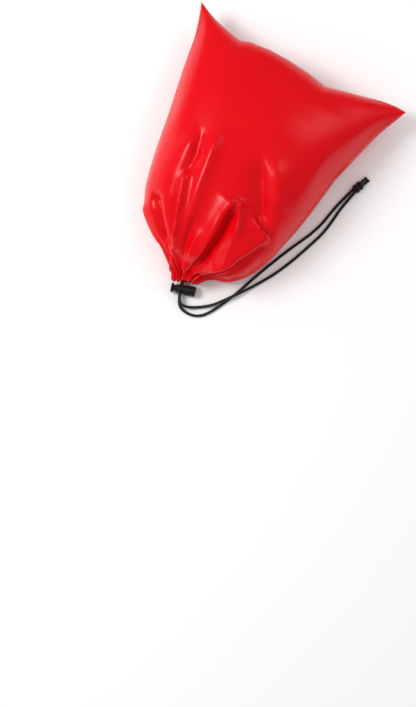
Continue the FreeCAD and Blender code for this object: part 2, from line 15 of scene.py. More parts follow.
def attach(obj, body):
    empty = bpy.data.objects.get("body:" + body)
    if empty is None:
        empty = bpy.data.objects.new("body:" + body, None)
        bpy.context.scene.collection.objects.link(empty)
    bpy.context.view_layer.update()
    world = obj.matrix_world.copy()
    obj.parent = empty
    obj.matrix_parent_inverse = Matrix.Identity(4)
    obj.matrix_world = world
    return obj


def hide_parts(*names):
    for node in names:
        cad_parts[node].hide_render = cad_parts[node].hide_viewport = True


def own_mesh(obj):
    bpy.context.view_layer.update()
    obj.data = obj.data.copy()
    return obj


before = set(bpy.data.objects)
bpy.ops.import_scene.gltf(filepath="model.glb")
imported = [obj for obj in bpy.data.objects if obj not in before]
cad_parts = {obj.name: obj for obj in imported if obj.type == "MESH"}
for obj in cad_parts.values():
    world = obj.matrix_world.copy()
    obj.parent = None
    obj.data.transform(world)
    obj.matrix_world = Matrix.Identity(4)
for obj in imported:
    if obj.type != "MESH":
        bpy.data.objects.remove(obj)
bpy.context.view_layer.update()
MM = 0.001
scene = bpy.context.scene

# %% [markdown]
# ## The camera
#
# The camera looks almost straight down on the lying bag, six degrees off the vertical, from the
# side of the mouth and 1.5 m away. Its lens is worked out from how much floor the long side of the
# frame covers.

# %% Camera
FLOOR_SEEN = 707  # millimetres of floor along the long side of the frame
SENSOR = 36.0
DISTANCE = 1.5
AIM = Vector((65.0, -177.6, 0)) * MM
ELEVATION = math.radians(84)
toward = Vector((0.498, -0.867, 0)).normalized()
sideways = Vector((0.867, 0.498, 0)).normalized()
back = toward * math.cos(ELEVATION) + Vector((0, 0, math.sin(ELEVATION)))
upright = back.cross(sideways)

bpy.ops.object.select_all(action="DESELECT")
bpy.ops.object.camera_add(location=AIM + back * DISTANCE)
camera = bpy.context.object
camera.rotation_euler = Matrix((sideways, upright, back)).transposed().to_euler()
camera.data.sensor_width = SENSOR
camera.data.lens = SENSOR * DISTANCE / MM / FLOOR_SEEN
camera.data.clip_start = 0.05
camera.data.clip_end = 20
scene.camera = camera
scene.view_settings.view_transform = "Standard"
print("lens", round(camera.data.lens, 1), "mm")


# %% [markdown]
# ## Two helpers for making meshes
#
# Cords, stitches and the stuffing are all tubes, so one helper rolls a flat grid into a tube and
# merges it where its edges meet. The grid's two directions, u round the tube and v along it, say
# where on the tube a point is. The bag is rolled the same way, but keeps its flat pattern too.

# %% Selecting and rolling
def only(*pieces):
    """Select these pieces and nothing else."""
    if bpy.context.mode != "OBJECT":
        bpy.ops.object.mode_set(mode="OBJECT")
    bpy.ops.object.select_all(action="DESELECT")
    for piece in pieces:
        piece.select_set(True)
        bpy.context.view_layer.objects.active = piece


def in_edit(piece, *steps):
    """Run edit mode steps on the whole of a piece."""
    only(piece)
    bpy.ops.object.mode_set(mode="EDIT")
    bpy.ops.mesh.select_all(action="SELECT")
    for step in steps:
        step()
    bpy.ops.object.mode_set(mode="OBJECT")


def points_of(mesh):
    """A mesh's points, one row each."""
    spots = np.zeros(len(mesh.vertices) * 3)
    mesh.vertices.foreach_get("co", spots)
    return spots.reshape(-1, 3)


def set_points(mesh, spots):
    """Move a mesh's points to these rows."""
    mesh.vertices.foreach_set("co", np.asarray(spots, float).ravel())
    mesh.update()


def rolled(name, around, along, place, merge=1e-6):
    """A grid whose corners place(u, v) puts where they belong, merged where edges meet."""
    only()
    bpy.ops.mesh.primitive_grid_add(x_subdivisions=around, y_subdivisions=along, size=1)
    piece = bpy.context.object
    piece.name = name
    flat = points_of(piece.data)
    set_points(piece.data, place(flat[:, 0] + 0.5, flat[:, 1] + 0.5))
    in_edit(
        piece,
        lambda: bpy.ops.mesh.remove_doubles(threshold=merge),
        lambda: bpy.ops.mesh.normals_make_consistent(inside=False),
        lambda: bpy.ops.mesh.faces_shade_smooth(),
    )
    return piece


# %% [markdown]
# ## The drawcord's line
#
# A limp cord takes one smooth line: a NURBS spline, whose points pull the line towards them and
# never kink it. These points are the route of the real cord. It runs round the hem, straight
# through the lock one strand over the other, and then along the floor beside the bag. The second
# point from each end of the hem's loop is in line with its neighbours, which keeps the cord straight
# where the lock holds it.

# %% Cord routes, in millimetres
CORD = 3.0
HEM_LOOP = [
    (11.2, -140.5, 6.8), (8.8, -133.35, 6.8), (6.4, -126.2, 6.8), (1.7, -119, 11.6),
    (1.7, -119, 19.97), (18.3, -119, 19.97), (18.3, -119, 9.84), (13.3, -122, 6.76),
    (6.4, -126.2, 3.7), (8.8, -133.35, 3.7), (11.2, -140.5, 3.7),
]
STRAND_A = [
    (11.2, -140.5, 6.8), (14.0, -149.0, 6.8), (24.0, -148.4, 4.9), (35.5, -141.0, 1.5),
    (45.0, -133.5, 4.1), (53.0, -123.2, 4.9), (60.8, -112.0, 4.9), (69.5, -98.5, 2.2),
    (82.0, -77.5, 1.5), (91.5, -56.0, 1.5), (99.5, -32.0, 1.5), (104.8, -15.0, 1.5),
    (107.0, 1.0, 1.5), (107.8, 15.0, 1.5), (110.2, 27.5, 1.7), (112.3, 38.8, 3.8),
]
STRAND_B = [
    (11.2, -140.5, 3.7), (14.2, -149.6, 3.7), (23.0, -153.2, 1.5), (33.5, -152.4, 1.5),
    (42.0, -147.0, 1.5), (48.8, -136.0, 1.5), (54.8, -123.0, 1.5), (61.0, -107.5, 1.5),
    (66.0, -92.0, 1.5), (73.5, -71.0, 1.5), (84.5, -43.5, 1.5), (94.5, -22.0, 1.5),
    (99.5, -6.0, 1.5), (101.8, 10.0, 1.5), (105.0, 24.5, 1.7), (109.3, 39.8, 3.8),
]


def smooth_line(name, route):
    """The points that a NURBS spline through a route's pull points runs over, in metres."""
    curve = bpy.data.curves.new(name, "CURVE")
    curve.dimensions = "3D"
    curve.resolution_u = 16
    spline = curve.splines.new("NURBS")
    spline.points.add(len(route) - 1)
    for point, spot in zip(spline.points, route):
        point.co = (*(Vector(spot) * MM), 1)
    spline.order_u = 3
    spline.use_endpoint_u = True
    path = bpy.data.objects.new(name, curve)
    scene.collection.objects.link(path)
    line = points_of(bpy.data.meshes.new_from_object(path))
    bpy.data.objects.remove(path)
    return line


def length_of(line):
    """The length of a line of points, in metres."""
    return float(np.linalg.norm(np.diff(line, axis=0), axis=1).sum())


# %% [markdown]
# ## Braided cord
#
# The cord is a tube of ten polyester yarns, five wound each way, so its surface is a net of small
# lozenges. They are made in the mesh itself: the tube's radius swells where a yarn lies on top.
# Yarns are a little over a millimetre wide at this diameter.

# %% Braided tubes
YARNS = 5  # wound each way
BRAID_STEP = 0.45 * MM
BRAID_DEPTH = 0.045


def frames_along(line, count):
    """Even points along a line, and two directions across it that never twist."""
    reach = np.concatenate([[0], np.cumsum(np.linalg.norm(np.diff(line, axis=0), axis=1))])
    even = np.linspace(0, reach[-1], count)
    spots = np.stack([np.interp(even, reach, line[:, k]) for k in range(3)], axis=1)
    heading = np.gradient(spots, axis=0)
    heading /= np.linalg.norm(heading, axis=1, keepdims=True)
    start = np.array([0, 0, 1.0]) if abs(heading[0][2]) < 0.8 else np.array([1.0, 0, 0])
    across = [np.cross(heading[0], start)]
    across[0] /= np.linalg.norm(across[0])
    for ahead in heading[1:]:
        turned = across[-1] - ahead * np.dot(across[-1], ahead)
        across.append(turned / np.linalg.norm(turned))
    across = np.array(across)
    return spots, across, np.cross(heading, across), even


def braided(name, line, diameter, swell=None, around=20):
    """A braided tube along a line, closed at both ends; swell widens it along its length."""
    steps = max(8, int(length_of(line) / BRAID_STEP))
    spots, across, aside, even = frames_along(line, steps + 1)
    radius = diameter / 2

    def place(u, v):
        row = np.rint(v * steps).astype(int)
        turn = u * 2 * np.pi
        drift = even[row] / radius
        lie = np.maximum(np.cos(YARNS * turn + drift * YARNS), np.cos(YARNS * turn - drift * YARNS))
        size = radius * (1 - BRAID_DEPTH + BRAID_DEPTH * lie)
        if swell is not None:
            size = size * swell(row / steps)
        return spots[row] + size[:, None] * (
            np.cos(turn)[:, None] * across[row] + np.sin(turn)[:, None] * aside[row]
        )

    piece = rolled(name, around, steps, place)
    close_ends(piece)
    return piece


def close_ends(piece):
    """Fill the open rims of a tube."""
    only(piece)
    bpy.ops.object.mode_set(mode="EDIT")
    bpy.ops.mesh.select_all(action="DESELECT")
    bpy.ops.mesh.select_mode(type="EDGE")
    bpy.ops.mesh.select_non_manifold(extend=False, use_multi_face=False, use_non_contiguous=False)
    bpy.ops.mesh.edge_face_add()
    bpy.ops.mesh.select_all(action="SELECT")
    bpy.ops.mesh.normals_make_consistent(inside=False)
    bpy.ops.mesh.select_mode(type="VERT")
    bpy.ops.object.mode_set(mode="OBJECT")


cord_pieces = []
for name, route, node, end in (
    ("hem_cord", HEM_LOOP, "drawcord_loop", "object"),
    ("cord_strand_a", STRAND_A, "drawcord_strand_a", "knot"),
    ("cord_strand_b", STRAND_B, "drawcord_strand_b", "knot"),
):
    line = smooth_line(name, route)
    piece = braided(name, line, CORD * MM)
    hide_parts(node)
    cord_pieces.append(piece)
    print(name, round(length_of(line) * 1000, 1), "mm", len(piece.data.polygons), "faces")

# %% [markdown]
# ## The knot and the tails
#
# Both strands go through one tight overhand knot. Pulled hard, it shows as the pair of strands
# with two turns laid slantwise round them, and the ends stick out beyond, melted so that they
# don't fray.

# %% Knot and tails
KNOT_NEAR = Vector((110.55, 38.5, 3.8))
KNOT_TURN = math.radians(71)
KNOT_AXIS = Vector((math.cos(KNOT_TURN), math.sin(KNOT_TURN), 0))
KNOT_SIDE = Vector((math.sin(KNOT_TURN), -math.cos(KNOT_TURN), 0))
TURN_WIDTH = 3.5


def at_knot(along, side, up):
    """A place along, beside and above the knot's near end, in millimetres."""
    spot = KNOT_NEAR + KNOT_AXIS * along + KNOT_SIDE * side
    return (spot.x, spot.y, spot.z + up)


def slanted_turn(start, slant):
    """Pull points of one turn round the pair of strands, beginning and ending inside them."""
    route = [at_knot(start - 0.3, -1.2, -0.6)]
    for step in range(11):
        turn = math.radians(-150 + 42 * step)
        lean = slant * math.sin(turn)
        along = start + 0.1 * step + lean
        route.append(at_knot(along, 3.2 * math.cos(turn), 2.2 * math.sin(turn)))
    route.append(at_knot(start + 2.0, 0.8, -0.4))
    return route


knot_parts = [
    braided(name, smooth_line(name, slanted_turn(start, 1.9)), TURN_WIDTH * MM)
    for name, start in (("turn_near", 2.6), ("turn_far", 7.2))
]
for side in (1, -1):
    core = [
        at_knot(0.2, 1.55 * side, 0), at_knot(4, 1.3 * side, 0.3),
        at_knot(8.5, 1.4 * side, -0.3), at_knot(12.4, 1.75 * side, -1.3),
    ]
    knot_parts.append(braided("knot_core", smooth_line("knot_core", core), CORD * MM))
only(*knot_parts)
bpy.ops.object.join()
knot = bpy.context.object
knot.name = "overhand_knot"
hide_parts("end_knot")


def melted(share):
    """How a tail widens to a melted bead and closes at its tip."""
    bead = 1 + 0.18 * np.exp(-(((share - 0.86) / 0.13) ** 2))
    return bead * np.sqrt(np.clip((1.015 - share) / 0.05, 0.12, 1))


tails = []
for name, side, turn, node in (
    ("tail_a", 1, 1.5, "cord_tail_a"),
    ("tail_b", -1, -1.5, "cord_tail_b"),
):
    root = Vector(at_knot(12.0, 1.72 * side, -1.4))
    heading = Matrix.Rotation(math.radians(turn), 3, "Z") @ KNOT_AXIS
    route = [root, root + heading * 2.5, root + heading * 5.0, root + heading * 7.2]
    tail = braided(name, smooth_line(name, route), CORD * MM, melted)
    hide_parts(node)
    tails.append(tail)
print("knot", len(knot.data.polygons), "faces")

# %% [markdown]
# ## The lock's spring
#
# The barrel, and the plunger inside it, are rigid and come from the CAD as they are. The spring
# between them isn't: it is a coil of wire that gets shorter by as much as the button is pressed. So
# it is wound here, one turn after another along the lock's axis.

# %% Spring
LOCK = Vector((9.5, -135.516, 5.25))
LOCK_AXIS = Vector((0.94888, 0.31565, 0))
LOCK_OUT = Vector((0.31565, -0.94888, 0))
SPRING_START = 7.05
SPRING_LENGTH = 6.4
WIRE = 0.7
COIL_RADIUS = 2.95
TURNS = 4.5
COIL_STEPS = 240

coil = []
for share in np.linspace(0, 1, COIL_STEPS):
    turn = 2 * math.pi * TURNS * share
    along = SPRING_START + WIRE / 2 + (SPRING_LENGTH - WIRE) * share
    spot = LOCK + LOCK_AXIS * along + LOCK_OUT * (COIL_RADIUS * math.cos(turn))
    coil.append((spot.x, spot.y, spot.z + COIL_RADIUS * math.sin(turn)))
spots, across, aside, _ = frames_along(np.array(coil) * MM, COIL_STEPS + 1)


def wire_place(u, v):
    """The wire's round section, carried along the coil."""
    row = np.rint(v * COIL_STEPS).astype(int)
    turn = u[:, None] * 2 * np.pi
    return spots[row] + WIRE / 2 * MM * (np.cos(turn) * across[row] + np.sin(turn) * aside[row])


spring = rolled("lock_coil", 10, COIL_STEPS, wire_place)
close_ends(spring)
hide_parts("lock_spring")
print("spring", len(spring.data.polygons), "faces")

# %% [markdown]
# ## The bag, cut flat
#
# Coated nylon hardly stretches, so every fold in the bag comes from its cut. The cloth is a tube,
# 460 mm round and 299 mm long, closed at the bottom, and its last 14 mm turn in round the drawcord.
# It could be sculpted outright, but a simulation finds the strain at the seams and corners better
# than a hand does. So the cloth is first put roughly where the stuffed bag is, and then lets go.

# %% The cut and the rough shape
PANEL = 230.0
CUT_LENGTH = 299.0
HEM_EDGE = 24.0
MOUTH_SLANT = 0.42
ROUND = 132
ROWS = 80
EAR = 0.1135  # metres from the middle of the bottom seam to a corner
SEAM_HEIGHT = 13  # millimetres above the floor at the mouth
SEAM_RISE = 17  # and how much higher at the bottom seam
# Below 1 squares the section's outline: over the top, underneath and at the sides.
TOP_CURVE, UNDER_CURVE, SIDE_CURVE = 0.82, 0.6, 0.88

# Place along the bag, sideways shift, half width, top and underside, from the bottom seam on.
SHAPE = np.array([
    (125.0, 0.0, 113.5, 30.5, 29.5),
    (121.0, 0.5, 112.0, 39.0, 21.0),
    (113.0, 0.5, 109.5, 49.0, 12.0),
    (101.0, 0.0, 106.0, 60.0, 4.0),
    (79.0, -1.0, 101.0, 72.0, 1.5),
    (57.0, -1.5, 96.5, 79.0, 1.5),
    (37.0, -1.5, 92.0, 83.0, 1.5),
    (16.0, -0.5, 88.5, 84.0, 1.5),
    (-5.0, 0.5, 85.5, 83.5, 1.5),
    (-29.0, 1.0, 81.5, 80.0, 1.5),
    (-51.0, 1.0, 76.5, 74.0, 1.5),
    (-70.0, 1.5, 71.5, 66.0, 1.5),
    (-84.0, 2.5, 65.0, 58.5, 1.5),
    (-96.0, 5.0, 55.0, 49.5, 1.5),
    (-105.0, 7.5, 43.0, 41.5, 1.5),
    (-112.0, 9.5, 29.0, 34.5, 2.5),
    (-117.0, 10.0, 19.0, 29.0, 4.5),
    (-120.0, 10.0, 15.0, 27.0, 5.0),
    (-123.5, 10.0, 12.5, 25.4, 6.0),
    (-127.2, 10.0, 12.2, 25.2, 6.2),
    (-127.8, 10.0, 9.5, 22.5, 8.4),
    (-125.0, 10.0, 6.0, 18.9, 11.0),
    (-119.0, 10.0, 5.4, 18.3, 11.6),
    (-114.5, 10.0, 5.0, 18.0, 12.0),
])


def shape_at(share):
    """Rows of SHAPE at shares of the cloth's length, measured over the top of the bag."""
    rise = np.diff(SHAPE[:, (0, 3)], axis=0)
    reach = np.concatenate([[0], np.cumsum(np.hypot(rise[:, 0], rise[:, 1]))])
    return [np.interp(share * reach[-1], reach, SHAPE[:, k]) for k in range(5)]


def rough_shape(u, v):
    """Where the cloth starts: u goes once round it, v from the bottom seam to the hem's edge."""
    along, shift, half_width, top, under = shape_at(v)
    turn = u * 2 * np.pi
    seam_height = SEAM_HEIGHT + SEAM_RISE * (along + 125) / 250
    seam_height = np.clip(seam_height, under + 0.2, top - 0.2)
    upper = np.sin(turn) >= 0
    rise = np.where(upper, top - seam_height, seam_height - under)
    lift = np.sign(np.sin(turn)) * np.abs(np.sin(turn)) ** np.where(upper, TOP_CURVE, UNDER_CURVE)
    x = shift + half_width * np.sign(np.cos(turn)) * np.abs(np.cos(turn)) ** SIDE_CURVE
    z = seam_height + rise * lift
    # The stuffing swells past the middle of the bottom seam, whose corners stay out as ears.
    inward = np.clip(1 - (np.abs(x + 12) / 105) ** 2.2, 0, 1)
    pulled = 19 * np.clip(1 - v / 0.085, 0, 1) ** 1.6 + 5 * np.clip(1 - v / 0.2, 0, 1)
    slant = MOUTH_SLANT * (x - 10) * np.clip((-along - 108) / 16, 0, 1)
    return np.stack([x, along - pulled * inward + slant, np.maximum(z, 1.0)], axis=1) * MM


def flat_pattern(u, v):
    """Where the same spots of the cloth lie when the bag is empty and flat."""
    k = 2 * np.minimum(u, 1 - u)
    side = np.where((u < 0.5) & (k > 0), 0.4, -0.4) * (k < 1)
    return np.stack([PANEL / 2 - PANEL * k, -v * CUT_LENGTH, side], axis=1) * MM


def bag_tube():
    """The rough bag, which also remembers its flat pattern and its place on the cloth."""
    only()
    bpy.ops.mesh.primitive_grid_add(x_subdivisions=ROUND, y_subdivisions=ROWS, size=1)
    piece = bpy.context.object
    piece.name = "bag_cloth"
    spots = points_of(piece.data)
    u, v = spots[:, 0] + 0.5, (spots[:, 1] + 0.5) ** 0.86
    flat = piece.data.attributes.new("flat", "FLOAT_VECTOR", "POINT")
    flat.data.foreach_set("vector", flat_pattern(u, v).ravel())
    turn = u * 2 * np.pi
    cloth_place = piece.data.attributes.new("cloth_place", "FLOAT_VECTOR", "POINT")
    places = np.stack([np.cos(turn), np.sin(turn), v], axis=1)
    cloth_place.data.foreach_set("vector", places.ravel())
    start = rough_shape(u, v)
    start[v < 1e-6, 2] = 30 * MM
    set_points(piece.data, start)
    in_edit(
        piece,
        lambda: bpy.ops.mesh.remove_doubles(threshold=2e-5),
        lambda: bpy.ops.mesh.normals_make_consistent(inside=False),
        lambda: bpy.ops.mesh.faces_shade_smooth(),
    )
    return piece


def read_attribute(mesh, name):
    """A vector attribute of a mesh, one row for each point."""
    values = np.zeros(len(mesh.vertices) * 3)
    mesh.attributes[name].data.foreach_get("vector", values)
    return values.reshape(-1, 3)


bag = bag_tube()
print("bag", len(bag.data.vertices), "points")

# %% [markdown]
# ## The bag, stuffed
#
# The stuffing is a smooth lump inside, which the cloth can't pass. The cloth near the mouth is held
# in its gathers, and light air pressure holds the rest off the lump.

# %% Let the cloth settle
FRAMES = 22
PRESSURE = 1.6
STIFFNESS = 60


def weight_group(piece, name, weights):
    """A vertex group with these weights, rounded to hundredths."""
    group = piece.vertex_groups.new(name=name)
    for level in np.unique(np.round(weights, 2)):
        if level > 0:
            chosen = np.flatnonzero(np.round(weights, 2) == level)
            group.add([int(i) for i in chosen], float(level), "REPLACE")


def left_to_hem(piece):
    """How far each point is from the drawcord's ring, along the cloth, in millimetres."""
    return (CUT_LENGTH - HEM_EDGE) - read_attribute(piece.data, "cloth_place")[:, 2] * CUT_LENGTH


def mouth_hold(left):
    """How firmly the gathers hold the cloth: fully at the mouth, and not at all 70 mm from it."""
    return np.clip(1 - (left - 10) / 60, 0, 1) ** 2


def settle(piece):
    """Let the cloth find its place over the stuffing, held at the mouth and a little at the ears."""
    left = left_to_hem(piece)
    corner = np.abs(np.abs(points_of(piece.data)[:, 0]) - EAR) < 0.012
    hold = mouth_hold(left)
    hold = np.where(corner & (left > 0.96 * CUT_LENGTH - HEM_EDGE), 0.6, hold)
    weight_group(piece, "held", hold)
    piece.shape_key_add(name="Basis")
    flat = piece.shape_key_add(name="flat")
    flat.data.foreach_set("co", read_attribute(piece.data, "flat").ravel())
    only(piece)
    cloth = piece.modifiers.new("Cloth", "CLOTH")
    settings, touching = cloth.settings, cloth.collision_settings
    settings.rest_shape_key = flat
    settings.quality = 6
    settings.mass = 0.1
    settings.tension_stiffness = settings.compression_stiffness = STIFFNESS
    settings.shear_stiffness = 12
    settings.bending_stiffness = 0.3
    settings.tension_damping = settings.compression_damping = settings.shear_damping = 5
    settings.bending_damping = 0.5
    settings.air_damping = 2
    settings.vertex_group_mass = "held"
    settings.pin_stiffness = 1
    settings.use_pressure = True
    settings.uniform_pressure_force = PRESSURE
    settings.effector_weights.gravity = 0.05
    touching.use_collision = True
    touching.distance_min = 0.8 * MM
    touching.collision_quality = 2
    cloth.point_cache.frame_start = 1
    cloth.point_cache.frame_end = FRAMES
    for number in range(1, FRAMES + 1):
        scene.frame_set(number)
    settled = bpy.context.evaluated_depsgraph_get()
    result = points_of(piece.evaluated_get(settled).data)
    piece.modifiers.remove(cloth)
    piece.shape_key_clear()
    set_points(piece.data, result)
    scene.frame_set(1)


def stuffing_shape(u, v):
    """The stuffed line: the bag's rough shape, drawn in and rounded at its ends."""
    along, shift, half_width, top, under = shape_at(0.14 + 0.72 * v)
    turn = u * 2 * np.pi
    rounding = np.sqrt(np.clip(1 - np.abs(2 * v - 1) ** 5, 0, 1))
    middle = (top + under) / 2
    x = shift + (half_width - 9) * rounding * np.cos(turn)
    z = middle - 3 + ((top - under) / 2 - 8 - 5 * v**2) * rounding * np.sin(turn)
    return np.stack([x, along, z], axis=1) * MM


stuffing = rolled("stuffed_line", 48, 36, stuffing_shape, merge=5e-4)
only()
bpy.ops.mesh.primitive_plane_add(size=1.5)
ground = bpy.context.object
for solid in (stuffing, ground):
    solid.modifiers.new("Collision", "COLLISION")
    solid.collision.thickness_outer = 0.6 * MM
    solid.collision.cloth_friction = 12
settle(bag)
print("settled", [round(side * 1000) for side in bag.dimensions])
stuffing.modifiers.clear()
bpy.data.objects.remove(ground)

# %% [markdown]
# ## The folds at the mouth
#
# Where 460 mm of cloth is drawn into a ring, the surplus stands up in ridges and sinks into
# valleys that all run to the mouth. A simulation would put them anywhere, and this bag's are known,
# so each is laid along its own line. A fold has a height at its line and dies away at a different
# rate on each side, which is what makes one flank steep and the other gentle.

# %% Lay the folds
# Line from its far end to the mouth, height, reach on the +x side and on the other, run-in of its
# far end, all in millimetres.
FOLDS = [
    ([(-54, 7), (-39, -31), (-24, -80), (-11, -116)], 3.4, 4.5, 13, 30),
    ([(-45, 5), (-38, -24), (-37, -46), (-27, -80), (-14, -112)], -5.2, 5, 5, 34),
    ([(-29, 19), (-23.5, -12), (-17.5, -52), (-11, -84), (-4, -116)], 4.2, 6, 9, 34),
    ([(-39, -38), (-29.5, -62), (-20.5, -84), (-11.5, -108)], 6.6, 2.9, 2.7, 9),
    ([(12.5, 15), (25, -3), (37, -22), (50, -42), (57, -54)], -5.0, 4, 15, 36),
    ([(27, 16), (45, -8), (60, -38)], 2.6, 12, 6, 26),
    ([(17, -38), (15.5, -62), (14, -92), (8, -116)], 5.4, 2.6, 9, 9),
    ([(19, -46), (20.5, -75), (17, -100), (10, -116)], -6.4, 4.4, 3.4, 14),
    ([(17, -38), (25, -47), (31.5, -61), (33, -78)], 4.2, 4, 2.6, 10),
    ([(62, -53), (52.5, -74), (41, -92), (21.5, -112)], 5.6, 2.4, 16, 4),
    ([(64, -60), (57, -78), (46, -95), (25, -113)], -4.0, 5, 3, 12),
    ([(49, -88), (34, -102), (18, -115)], 3.6, 2.2, 5, 7),
    ([(-59, -69), (-43, -88), (-18, -113)], -5.2, 3.4, 3.2, 9),
    ([(-66, -78), (-50, -97), (-22, -115)], 2.6, 3, 4, 12),
    ([(-10, -70), (-6, -92), (-1, -114)], -3.0, 3, 3.4, 14),
    ([(2, -78), (2.5, -98), (4, -115)], 2.4, 3, 3, 12),
]
FOLD_STRENGTH = 1.45
FOLD_CREST = 0.05  # rounds the very top of a fold
FOLD_FALLOFF = 0.68  # how it dies away: 1 is a soft hump, 0.5 a sharp crease
TRACK_POINTS = 60
ROUNDED_OVER = 5  # track points on each side that a corner is averaged over
PLEATS = 21
PLEAT_HEIGHT = 2.3
PLEAT_FADE = 11  # millimetres from the drawcord over which the pleats die away


def fold_pattern(x, y):
    """The height of all folds at places on the bag's upper side, in millimetres."""
    height = np.zeros(len(x))
    for line, high, right, other, run_in in FOLDS:
        line = np.array(line, float)
        knots = np.concatenate([[0], np.cumsum(np.linalg.norm(np.diff(line, axis=0), axis=1))])
        even = np.linspace(0, knots[-1], TRACK_POINTS)
        # Rounded corners: the line is averaged over a few of its own points.
        track = np.stack([np.interp(even, knots, line[:, k]) for k in (0, 1)], axis=1)
        kernel = np.ones(2 * ROUNDED_OVER + 1) / (2 * ROUNDED_OVER + 1)
        ends = ((ROUNDED_OVER, ROUNDED_OVER), (0, 0))
        padded = np.pad(track, ends, mode="reflect", reflect_type="odd")
        track = np.stack([np.convolve(padded[:, k], kernel, "valid") for k in (0, 1)], axis=1)
        heading = np.gradient(track, axis=0)
        heading /= np.linalg.norm(heading, axis=1, keepdims=True)
        gap = np.stack([x, y], axis=1)[:, None] - track[None]
        nearest = np.argmin((gap**2).sum(axis=2), axis=1)
        gap = gap[np.arange(len(x)), nearest]
        ahead = heading[nearest]
        side = -(ahead[:, 1] * gap[:, 0] - ahead[:, 0] * gap[:, 1])
        before = np.clip(-(gap * ahead).sum(axis=1), 0, None) * (nearest == 0)
        grown = np.clip(even[nearest] / run_in, 0, 1)
        reach = np.where(side > 0, right, other) * (0.5 + 0.5 * grown)
        spread = (side**2 + before**2) / reach**2 + FOLD_CREST
        profile = np.exp(-(spread**FOLD_FALLOFF) + FOLD_CREST**FOLD_FALLOFF)
        profile *= grown**2 * (3 - 2 * grown) * np.clip((knots[-1] - even[nearest]) / 14, 0.35, 1)
        height += high * profile
    return height


# How far the bottom seam moves in (-) or out across the bag: two notches, and straight ears.
SEAM_OUTLINE = [
    (-118, 5), (-104, 2), (-90, 0), (-80, -1), (-66, -3), (-60, -3.5), (-52, 0.5), (-30, 4.5),
    (-10, 5), (15, 3), (30, -0.5), (37, -2), (43, 0), (60, 3.5), (82, 5), (104, 5), (118, 5),
]


def shape_bottom(spots):
    """Notch the bottom seam where the stuffing's bulge meets the flat ears."""
    across, out = np.array(SEAM_OUTLINE, float).T
    ramp = np.clip((spots[:, 1] / MM - 84) / 30, 0, 1)
    moved = spots.copy()
    ramp = ramp**2 * (3 - 2 * ramp) * MM
    moved[:, 1] += np.interp(spots[:, 0] / MM, across, out) * ramp
    moved[:, 0] += 4.5 * np.sign(spots[:, 0]) * (np.abs(spots[:, 0]) / EAR) ** 6 * ramp
    return moved


def lay_folds(piece):
    """Push the cloth out along its normals by its folds and pleats, and shape the bottom seam."""
    place = read_attribute(piece.data, "cloth_place")
    left = left_to_hem(piece)
    spots = points_of(piece.data)
    normals = np.zeros(len(spots) * 3)
    piece.data.vertices.foreach_get("normal", normals)
    normals = normals.reshape(-1, 3)
    upper = np.clip(place[:, 1] * 5, 0, 1) * np.clip((left + 1) / 8, 0, 1)
    push = FOLD_STRENGTH * upper * fold_pattern(spots[:, 0] / MM, spots[:, 1] / MM)
    turn = np.arctan2(place[:, 1], place[:, 0])
    sway = 0.9 * np.sin(2 * turn + 0.7) + 0.6 * np.sin(5 * turn + 2) + 0.4 * np.sin(9 * turn)
    fade = np.exp(-np.clip(left - 2, 0, None) / PLEAT_FADE)
    # Inside the mouth the turned-in hem keeps only a little of the pleats.
    fade = np.where(left < -9, 0.15, fade)
    pleat = 1 - 1.9 * np.abs(np.cos(PLEATS / 2 * turn + sway)) ** 1.6
    push = push + PLEAT_HEIGHT * fade * pleat
    set_points(piece.data, shape_bottom(spots + push[:, None] * normals * MM))


# The settled cloth is evened out first: its small dents are the grid's, not the nylon's.
even_out = bag.modifiers.new("Even", "SMOOTH")
even_out.factor, even_out.iterations = 0.5, 14
even_out.vertex_group, even_out.invert_vertex_group = "held", True
only(bag)
bpy.ops.object.modifier_apply(modifier="Even")
bag.modifiers.new("Density", "SUBSURF").levels = 1
bpy.ops.object.modifier_apply(modifier="Density")
lay_folds(bag)
bag.modifiers.new("Soften", "SMOOTH").iterations = 1
bpy.ops.object.modifier_apply(modifier="Soften")
thickness = bag.modifiers.new("Thickness", "SOLIDIFY")
thickness.thickness = 0.4 * MM
thickness.offset = -1
print("bag", len(bag.data.polygons), "faces")

# %% [markdown]
# ## The stitching
#
# A lockstitch shows as a row of short beads of thread, each sinking into the cloth at its ends. One
# bead is made, an Array repeats it, and a Curve modifier bends the row along the seam, which is how
# the thread really gets its shape. Stitches are 3 mm long.

# %% Rows of stitches
STITCH = 3.0
THREAD = 0.8
STITCH_SHOWS = 0.85  # of its length; the rest is where the thread dives into the cloth
PRESSED_FLAT = 0.7


def nearest_on_bag(turn, along):
    """Points on the cloth at places of the flat tube: shares of a turn and of the length."""
    place = read_attribute(bag.data, "cloth_place")
    wanted = np.stack([np.cos(turn * 2 * np.pi), np.sin(turn * 2 * np.pi), along], axis=1)
    gap = ((place[None] - wanted[:, None]) ** 2 * (1, 1, 6)).sum(axis=2)
    close = np.argpartition(gap, 4, axis=1)[:, :4]
    weight = 1 / (np.take_along_axis(gap, close, axis=1) + 1e-9)
    weight /= weight.sum(axis=1, keepdims=True)
    return (points_of(bag.data)[close] * weight[:, :, None]).sum(axis=1)


